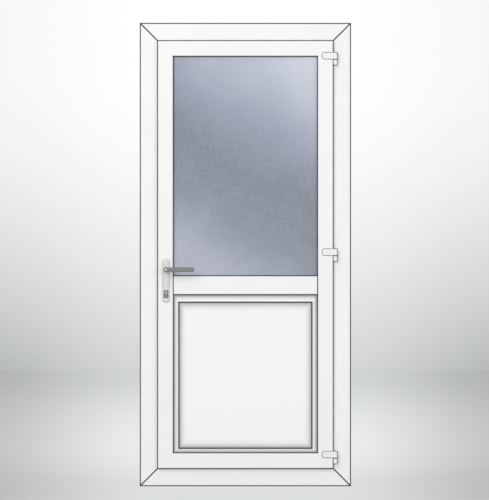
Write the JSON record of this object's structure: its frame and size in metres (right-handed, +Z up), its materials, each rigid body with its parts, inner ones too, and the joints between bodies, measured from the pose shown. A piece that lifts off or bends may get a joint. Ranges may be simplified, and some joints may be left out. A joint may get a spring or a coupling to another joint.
{
  "type": "pvc door with frame",
  "caption": "White hollow-profile door in its own frame: glazed above a transom, moulded infill panel below, lever handles, mortise lock with key cylinder and flag hinges.",
  "frame": {"origin": "centre of the frame's underside, at the middle of the frame's depth", "axes": "+X to the right and +Z up, seen from the side that the leaf opens towards, +Y away from that viewer"},
  "size_m": [0.98, 0.188, 2.15],
  "materials": {
    "white_pvc": "smooth satin white",
    "panel_skin": "satin white skin",
    "gasket_rubber": "matt dark grey",
    "edge_seal_foam": "matt dark foam",
    "galvanised_steel": "galvanised",
    "zinc_steel": "zinc plated",
    "white_coated_metal": "white powder coat",
    "glass": "satin tinted glass",
    "spacer_metal": "mill",
    "block_plastic": "moulded",
    "satin_plate": "satin anodised",
    "grey_lever": "satin grey anodised",
    "lock_steel": "brushed",
    "cylinder_metal": "dark nickel"
  },
  "bodies": {
    "frame": {"frame_head": "white_pvc", "frame_bottom": "white_pvc", "frame_lock_jamb": "white_pvc", "frame_hinge_jamb": "white_pvc", "frame_reinforcement": "galvanised_steel", "frame_edge_seal": "edge_seal_foam", "frame_gasket": "gasket_rubber", "strike_plate": "lock_steel", "strike_screws": "zinc_steel", "hinge_knuckle_top": "white_coated_metal", "hinge_knuckle_middle": "white_coated_metal", "hinge_knuckle_bottom": "white_coated_metal", "hinge_pins": "zinc_steel", "hinge_knuckle_bolts": "zinc_steel"},
    "leaf": {"sash_top_rail": "white_pvc", "sash_bottom_rail": "white_pvc", "sash_lock_stile": "white_pvc", "sash_hinge_stile": "white_pvc", "transom": "white_pvc", "sash_reinforcement": "galvanised_steel", "transom_reinforcement": "galvanised_steel", "transom_end_seals": "gasket_rubber", "sash_gasket": "gasket_rubber", "glass_front_pane": "glass", "glass_back_pane": "glass", "glass_spacer": "spacer_metal", "glass_edge_sealant": "gasket_rubber", "glass_gasket": "gasket_rubber", "infill_panel": "panel_skin", "panel_gasket": "gasket_rubber", "setting_blocks": "block_plastic", "lock_case": "zinc_steel", "lock_faceplate": "lock_steel", "faceplate_screws": "zinc_steel", "cylinder_body": "cylinder_metal", "front_backplate": "satin_plate", "rear_backplate": "satin_plate", "cylinder_guards": "cylinder_metal", "handle_bolts": "zinc_steel", "hinge_bushes": "block_plastic", "hinge_flag_screws": "white_coated_metal", "hinge_flag_top": "white_coated_metal", "hinge_flag_middle": "white_coated_metal", "hinge_flag_bottom": "white_coated_metal", "glass_bead_left": "white_pvc", "glass_bead_right": "white_pvc", "glass_bead_bottom": "white_pvc", "glass_bead_top": "white_pvc", "panel_bead_left": "white_pvc", "panel_bead_right": "white_pvc", "panel_bead_bottom": "white_pvc", "panel_bead_top": "white_pvc"},
    "handle": {"front_lever": "grey_lever", "rear_lever": "grey_lever", "lever_caps": "satin_plate", "spindle": "zinc_steel", "lock_follower": "zinc_steel"},
    "latch": {"latch_bolt": "lock_steel"},
    "deadbolt": {"deadbolt": "lock_steel"},
    "key_plug": {"cylinder_plug": "cylinder_metal"}
  },
  "joints": [
    {"name": "leaf_swing", "type": "hinge", "parent": "frame", "child": "leaf", "pos_m": [0.417, -0.0525, 1.0865], "axis": [0, 0, 1], "range_deg": [0, 110]},
    {"name": "lever_turn", "type": "hinge", "parent": "leaf", "child": "handle", "pos_m": [-0.3679, -0.022, 1.005], "axis": [0, 1, 0], "range_deg": [0, 40], "stiffness_Nm_per_rad": 2, "springref_deg": -20.05},
    {"name": "latch_slide", "type": "slide", "parent": "leaf", "child": "latch", "axis": [1, 0, 0], "range_m": [0, 0.015]},
    {"name": "key_turn", "type": "hinge", "parent": "leaf", "child": "key_plug", "pos_m": [-0.3679, -0.022, 0.9], "axis": [0, 1, 0], "range_deg": [0, 360]},
    {"name": "bolt_throw", "type": "slide", "parent": "leaf", "child": "deadbolt", "axis": [-1, 0, 0], "range_m": [0, 0.02]}
  ],
  "couplings": [
    {"joint": "latch_slide", "follows": "lever_turn", "m_per_rad": 0.02134},
    {"joint": "key_turn", "follows": "bolt_throw", "rad_per_m": 314.16}
  ]
}
